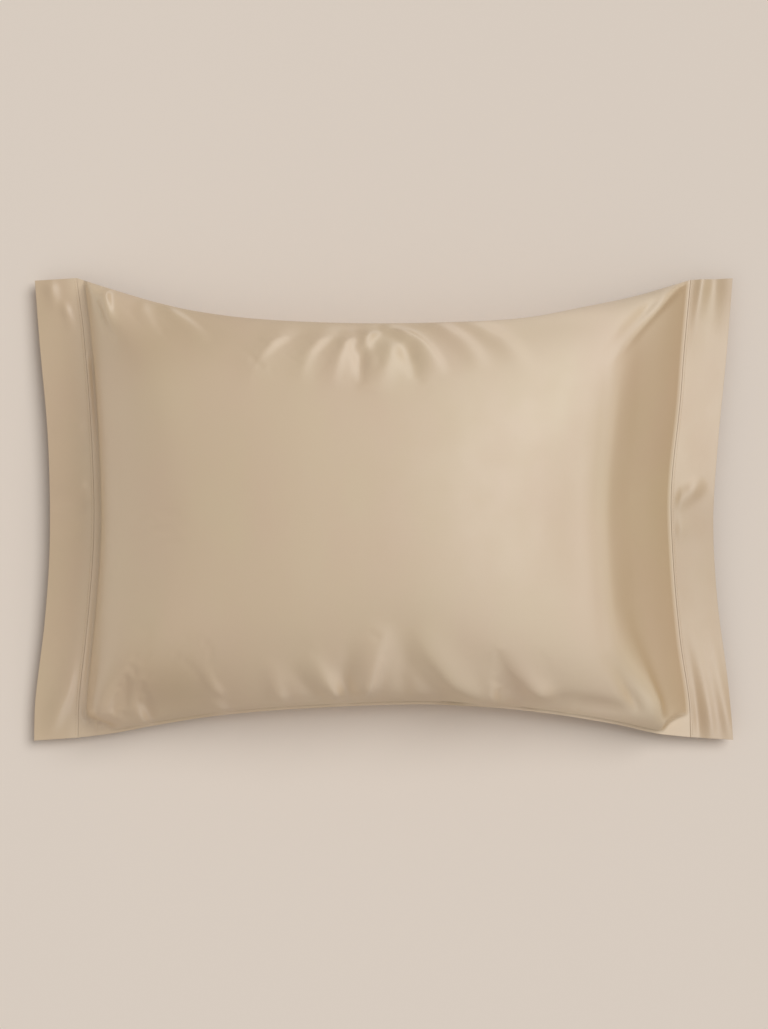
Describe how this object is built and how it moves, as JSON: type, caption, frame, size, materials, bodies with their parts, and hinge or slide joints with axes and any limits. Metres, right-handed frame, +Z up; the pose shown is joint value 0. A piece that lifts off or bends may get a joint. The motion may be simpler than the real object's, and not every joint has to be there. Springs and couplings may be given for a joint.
{
  "type": "pillowcase",
  "caption": "Satin pillowcase with a plain border along each short side, filled with a pillow and lying on its back.",
  "frame": {"origin": "under the middle of the case, on the surface that it lies on", "axes": "+X along the case towards its right border, +Y across it towards its far long seam, +Z up out of the front panel"},
  "size_m": [0.747, 0.494, 0.174],
  "materials": {
    "case_satin": "champagne satin, one smooth cloth with a soft wide sheen",
    "border_satin": "champagne satin in two layers, pressed flat and topstitched at the seam"
  },
  "bodies": {
    "root": {"case_body": "case_satin", "left_border": "border_satin", "right_border": "border_satin"}
  },
  "joints": []
}
